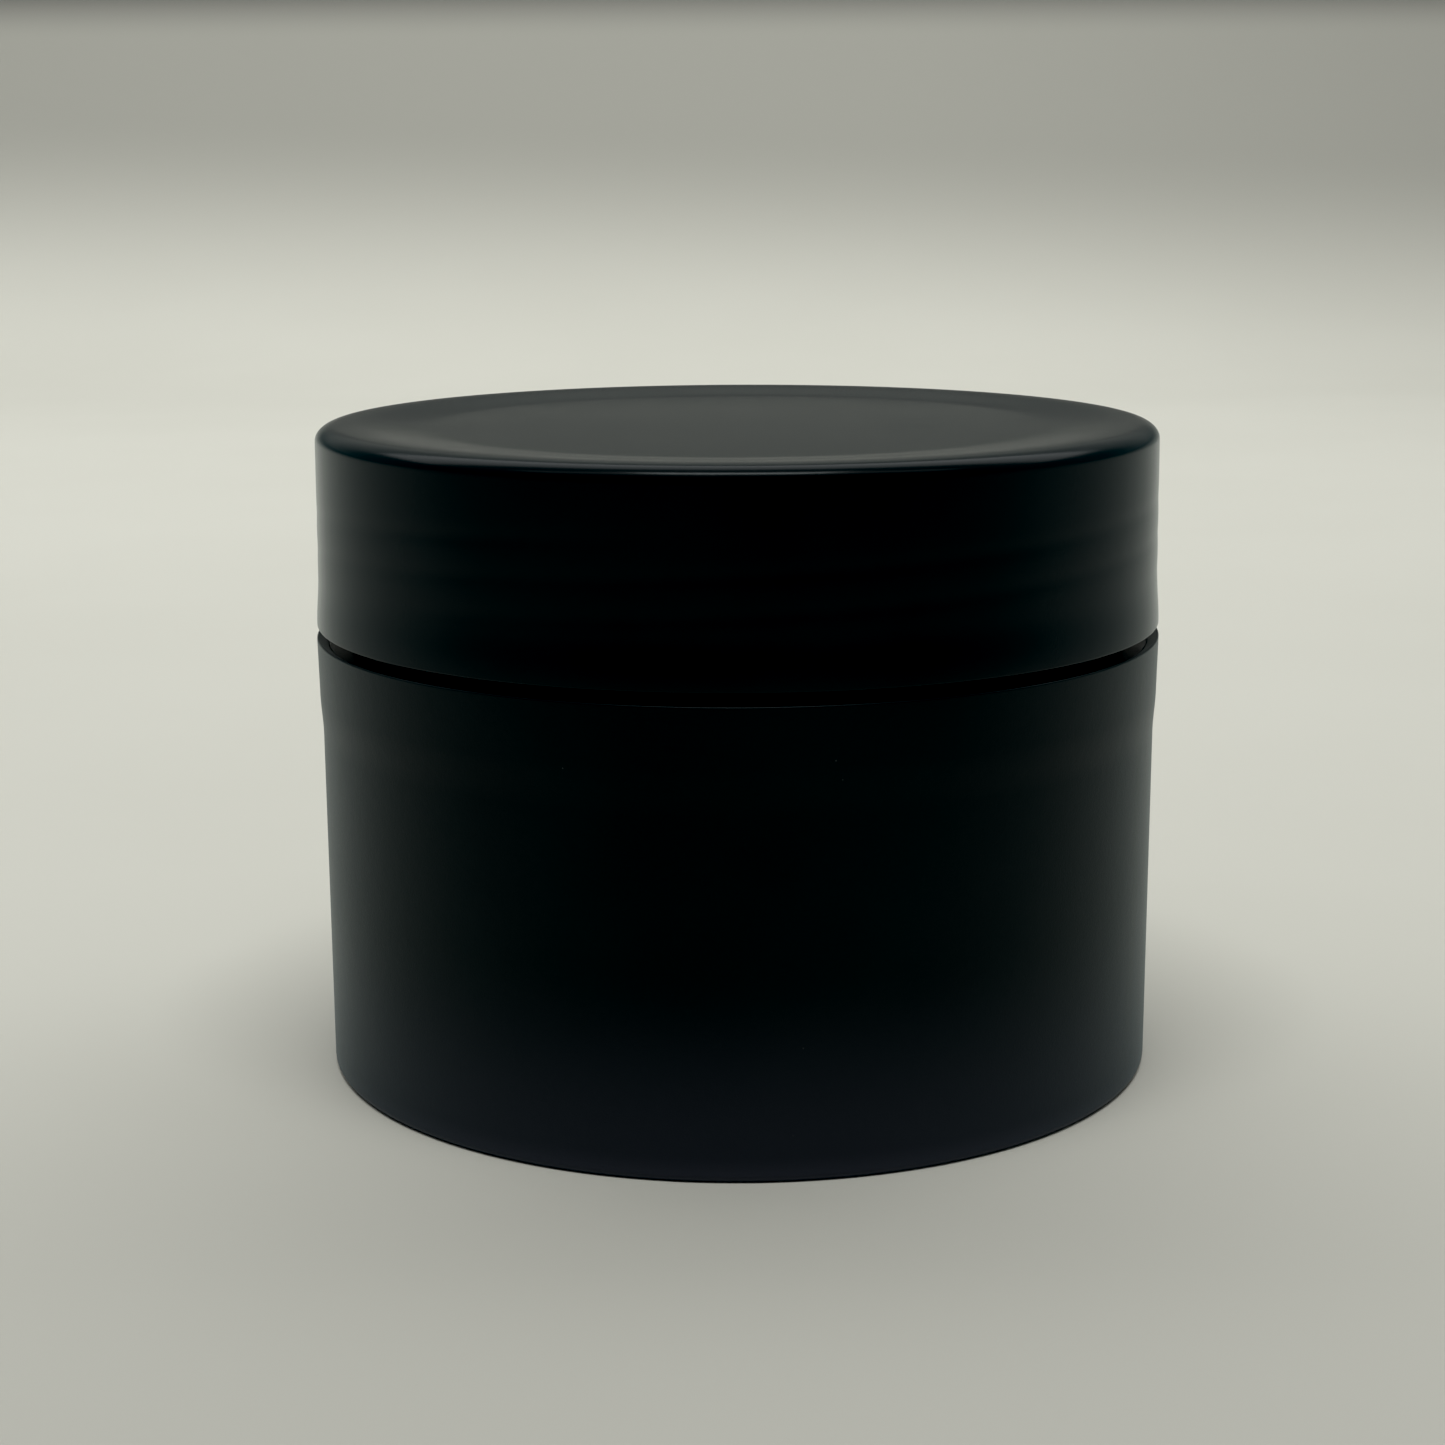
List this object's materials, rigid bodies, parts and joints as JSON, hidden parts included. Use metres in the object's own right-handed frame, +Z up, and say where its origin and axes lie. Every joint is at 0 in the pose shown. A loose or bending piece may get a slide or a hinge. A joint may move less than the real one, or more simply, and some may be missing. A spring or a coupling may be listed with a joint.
{
  "type": "candle tin",
  "caption": "Squat round matte black candle container: double-wall jar with a screw lid, shallow dished top and thin seam, holding poured wax with a cotton wick.",
  "frame": {"origin": "centre of the plane that the foot ring stands on", "axes": "+Z up along the container's axis, from base to lid; -Y is the side that faces a viewer in front, and +X is on that viewer's right"},
  "size_m": [0.0772, 0.0772, 0.0588],
  "materials": {
    "jar_plastic": "matte black moulded plastic with a fine even grain and a soft sheen at grazing angles",
    "cup_plastic": "smooth satin black moulded plastic",
    "lid_plastic": "matte black moulded plastic, same grain as the jar, with faint sink marks over the thread",
    "liner_foam": "white closed-cell foam sheet with a fine pebbled skin",
    "candle_wax": "creamy satin wax with faint frosting and a curved edge at the wall",
    "wick_cotton": "braided cotton, primed with wax",
    "sustainer_steel": "bright stamped sheet steel",
    "sticker_foam": "white double-sided foam tape"
  },
  "bodies": {
    "jar": {"outer_jar": "jar_plastic", "inner_cup": "cup_plastic", "wax": "candle_wax", "wick": "wick_cotton", "wick_sustainer": "sustainer_steel", "wick_sticker": "sticker_foam"},
    "liner": {"lid_liner": "liner_foam"},
    "lid": {"lid": "lid_plastic"}
  },
  "joints": [
    {"name": "lid_rise", "type": "slide", "parent": "jar", "child": "liner", "axis": [0, 0, 1], "range_m": [0, 0.048]},
    {"name": "lid_turn", "type": "hinge", "parent": "liner", "child": "lid", "pos_m": [0, 0, 0.0567], "axis": [0, 0, 1], "range_deg": [0, 1800]}
  ],
  "couplings": [
    {"joint": "lid_rise", "follows": "lid_turn", "m_per_rad": 0.0015279}
  ]
}
